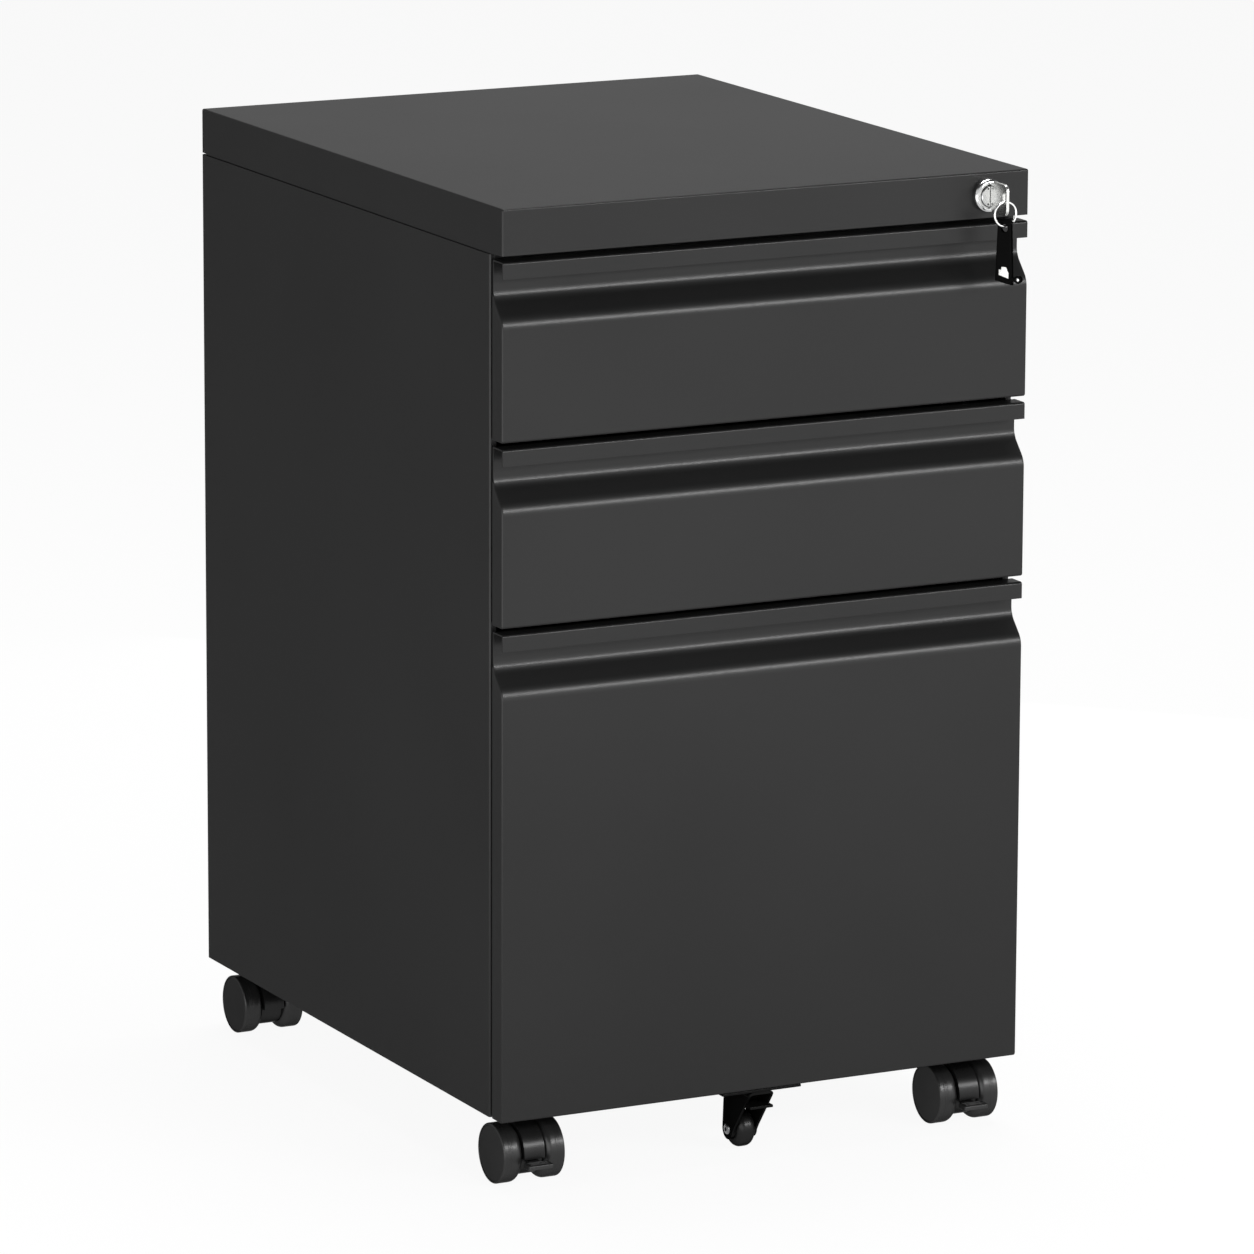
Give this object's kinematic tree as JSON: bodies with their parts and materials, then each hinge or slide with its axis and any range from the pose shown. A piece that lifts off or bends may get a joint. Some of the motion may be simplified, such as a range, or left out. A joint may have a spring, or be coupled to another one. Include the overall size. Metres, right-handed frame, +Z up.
{
  "type": "mobile filing cabinet",
  "caption": "Folded steel drawer pedestal with two box drawers above a filing drawer, a lift-on lid with a cam lock and keys, braked twin-wheel casters and a drawer support wheel",
  "frame": {"origin": "on the floor under the middle of the whole outline, key and drawers included", "axes": "+Z up, drawers face -Y, +X towards the side with the lock"},
  "size_m": [0.38, 0.5042, 0.644],
  "materials": {
    "powder_coat": "smooth satin powder coat, dark charcoal",
    "powder_coat_inside": "thin satin powder coat, dark charcoal",
    "zinc_steel": "bright zinc plating",
    "chrome": "polished",
    "key_steel": "nickel plated, fine grain",
    "black_plastic": "moulded, satin",
    "black_enamel": "gloss enamel",
    "black_wheel": "moulded, glossy"
  },
  "bodies": {
    "cabinet": {"left_side_panel": "powder_coat", "right_side_panel": "powder_coat", "back_panel": "powder_coat", "base_pan": "powder_coat", "deck": "powder_coat", "lid": "powder_coat", "lid_screws": "zinc_steel", "slide_uprights": "zinc_steel", "slide_outer_1": "zinc_steel", "slide_outer_2": "zinc_steel", "slide_outer_3": "zinc_steel", "lock_housing": "chrome", "lock_nut": "zinc_steel", "lock_bar_guides": "zinc_steel", "caster_stems": "zinc_steel"},
    "drawer_1": {"drawer_front_1": "powder_coat", "drawer_box_1": "powder_coat_inside", "drawer_catch_1": "zinc_steel", "slide_inner_1": "zinc_steel"},
    "slide_stage_1": {"slide_middle_1": "zinc_steel"},
    "drawer_2": {"drawer_front_2": "powder_coat", "drawer_box_2": "powder_coat_inside", "drawer_catch_2": "zinc_steel", "slide_inner_2": "zinc_steel"},
    "slide_stage_2": {"slide_middle_2": "zinc_steel"},
    "drawer_3": {"drawer_front_3": "powder_coat", "drawer_box_3": "powder_coat_inside", "drawer_catch_3": "zinc_steel", "slide_inner_3": "zinc_steel", "hanging_rails": "zinc_steel", "fifth_fork": "black_enamel", "fifth_pin": "zinc_steel"},
    "slide_stage_3": {"slide_middle_3": "zinc_steel"},
    "lock": {"lock_plug": "chrome", "lock_cam": "zinc_steel", "lock_key": "key_steel"},
    "lock_bar": {"lock_bar": "zinc_steel"},
    "ring": {"key_ring": "chrome"},
    "spare_key": {"spare_key_head": "black_plastic", "spare_key_blade": "chrome"},
    "caster_front_left": {"caster_hood_front_left": "black_plastic", "caster_axle_front_left": "zinc_steel"},
    "wheel_front_left_outer": {"caster_wheel_front_left_outer": "black_plastic"},
    "wheel_front_left_inner": {"caster_wheel_front_left_inner": "black_plastic"},
    "pedal_front_left": {"brake_pedal_front_left": "black_plastic"},
    "caster_front_right": {"caster_hood_front_right": "black_plastic", "caster_axle_front_right": "zinc_steel"},
    "wheel_front_right_outer": {"caster_wheel_front_right_outer": "black_plastic"},
    "wheel_front_right_inner": {"caster_wheel_front_right_inner": "black_plastic"},
    "pedal_front_right": {"brake_pedal_front_right": "black_plastic"},
    "caster_rear_left": {"caster_hood_rear_left": "black_plastic", "caster_axle_rear_left": "zinc_steel"},
    "wheel_rear_left_outer": {"caster_wheel_rear_left_outer": "black_plastic"},
    "wheel_rear_left_inner": {"caster_wheel_rear_left_inner": "black_plastic"},
    "caster_rear_right": {"caster_hood_rear_right": "black_plastic", "caster_axle_rear_right": "zinc_steel"},
    "wheel_rear_right_outer": {"caster_wheel_rear_right_outer": "black_plastic"},
    "wheel_rear_right_inner": {"caster_wheel_rear_right_inner": "black_plastic"},
    "fifth_wheel": {"fifth_wheel": "black_wheel"}
  },
  "joints": [
    {"name": "drawer_1_slide", "type": "slide", "parent": "cabinet", "child": "drawer_1", "axis": [0, -1, 0], "range_m": [0, 0.385], "deforming": ["spare_key_head", "spare_key_blade"]},
    {"name": "slide_stage_1_slide", "type": "slide", "parent": "cabinet", "child": "slide_stage_1", "axis": [0, -1, 0], "range_m": [0, 0.1925]},
    {"name": "drawer_2_slide", "type": "slide", "parent": "cabinet", "child": "drawer_2", "axis": [0, -1, 0], "range_m": [0, 0.385]},
    {"name": "slide_stage_2_slide", "type": "slide", "parent": "cabinet", "child": "slide_stage_2", "axis": [0, -1, 0], "range_m": [0, 0.1925]},
    {"name": "drawer_3_slide", "type": "slide", "parent": "cabinet", "child": "drawer_3", "axis": [0, -1, 0], "range_m": [0, 0.385]},
    {"name": "slide_stage_3_slide", "type": "slide", "parent": "cabinet", "child": "slide_stage_3", "axis": [0, -1, 0], "range_m": [0, 0.1925]},
    {"name": "lock_turn", "type": "hinge", "parent": "cabinet", "child": "lock", "pos_m": [0.159, -0.21585, 0.629], "axis": [0, 1, 0], "range_deg": [0, 90]},
    {"name": "lock_bar_lift", "type": "slide", "parent": "cabinet", "child": "lock_bar", "axis": [0, 0, 1], "range_m": [0, 0.00848]},
    {"name": "ring_swing", "type": "hinge", "parent": "lock", "child": "ring", "pos_m": [0.159, -0.24005, 0.6279], "axis": [1, 0, 0], "range_deg": [-60, 10]},
    {"name": "spare_key_swing", "type": "hinge", "parent": "ring", "child": "spare_key", "pos_m": [0.159, -0.24005, 0.6121], "axis": [1, 0, 0], "range_deg": [-30, 10]},
    {"name": "caster_front_left_swivel", "type": "hinge", "parent": "cabinet", "child": "caster_front_left", "pos_m": [-0.161, -0.17385, 0.0249], "axis": [0, 0, 1], "continuous": true},
    {"name": "wheel_front_left_outer_roll", "type": "hinge", "parent": "caster_front_left", "child": "wheel_front_left_outer", "pos_m": [-0.161, -0.18585, 0.02], "axis": [1, 0, 0], "continuous": true},
    {"name": "wheel_front_left_inner_roll", "type": "hinge", "parent": "caster_front_left", "child": "wheel_front_left_inner", "pos_m": [-0.161, -0.18585, 0.02], "axis": [1, 0, 0], "continuous": true},
    {"name": "pedal_front_left_press", "type": "hinge", "parent": "caster_front_left", "child": "pedal_front_left", "pos_m": [-0.161, -0.19805, 0.0154], "axis": [1, 0, 0], "range_deg": [0, 10]},
    {"name": "caster_front_right_swivel", "type": "hinge", "parent": "cabinet", "child": "caster_front_right", "pos_m": [0.161, -0.17385, 0.0249], "axis": [0, 0, 1], "continuous": true},
    {"name": "wheel_front_right_outer_roll", "type": "hinge", "parent": "caster_front_right", "child": "wheel_front_right_outer", "pos_m": [0.161, -0.18585, 0.02], "axis": [1, 0, 0], "continuous": true},
    {"name": "wheel_front_right_inner_roll", "type": "hinge", "parent": "caster_front_right", "child": "wheel_front_right_inner", "pos_m": [0.161, -0.18585, 0.02], "axis": [1, 0, 0], "continuous": true},
    {"name": "pedal_front_right_press", "type": "hinge", "parent": "caster_front_right", "child": "pedal_front_right", "pos_m": [0.161, -0.19805, 0.0154], "axis": [1, 0, 0], "range_deg": [0, 10]},
    {"name": "caster_rear_left_swivel", "type": "hinge", "parent": "cabinet", "child": "caster_rear_left", "pos_m": [-0.161, 0.23615, 0.0249], "axis": [0, 0, 1], "continuous": true},
    {"name": "wheel_rear_left_outer_roll", "type": "hinge", "parent": "caster_rear_left", "child": "wheel_rear_left_outer", "pos_m": [-0.161, 0.22415, 0.02], "axis": [1, 0, 0], "continuous": true},
    {"name": "wheel_rear_left_inner_roll", "type": "hinge", "parent": "caster_rear_left", "child": "wheel_rear_left_inner", "pos_m": [-0.161, 0.22415, 0.02], "axis": [1, 0, 0], "continuous": true},
    {"name": "caster_rear_right_swivel", "type": "hinge", "parent": "cabinet", "child": "caster_rear_right", "pos_m": [0.161, 0.23615, 0.0249], "axis": [0, 0, 1], "continuous": true},
    {"name": "wheel_rear_right_outer_roll", "type": "hinge", "parent": "caster_rear_right", "child": "wheel_rear_right_outer", "pos_m": [0.161, 0.22415, 0.02], "axis": [1, 0, 0], "continuous": true},
    {"name": "wheel_rear_right_inner_roll", "type": "hinge", "parent": "caster_rear_right", "child": "wheel_rear_right_inner", "pos_m": [0.161, 0.22415, 0.02], "axis": [1, 0, 0], "continuous": true},
    {"name": "fifth_wheel_roll", "type": "hinge", "parent": "drawer_3", "child": "fifth_wheel", "pos_m": [0, -0.18385, 0.014], "axis": [1, 0, 0], "continuous": true}
  ],
  "couplings": [
    {"joint": "slide_stage_1_slide", "follows": "drawer_1_slide", "ratio": 0.5},
    {"joint": "slide_stage_2_slide", "follows": "drawer_2_slide", "ratio": 0.5},
    {"joint": "slide_stage_3_slide", "follows": "drawer_3_slide", "ratio": 0.5},
    {"joint": "lock_turn", "follows": "lock_bar_lift", "rad_per_m": 185.12}
  ]
}
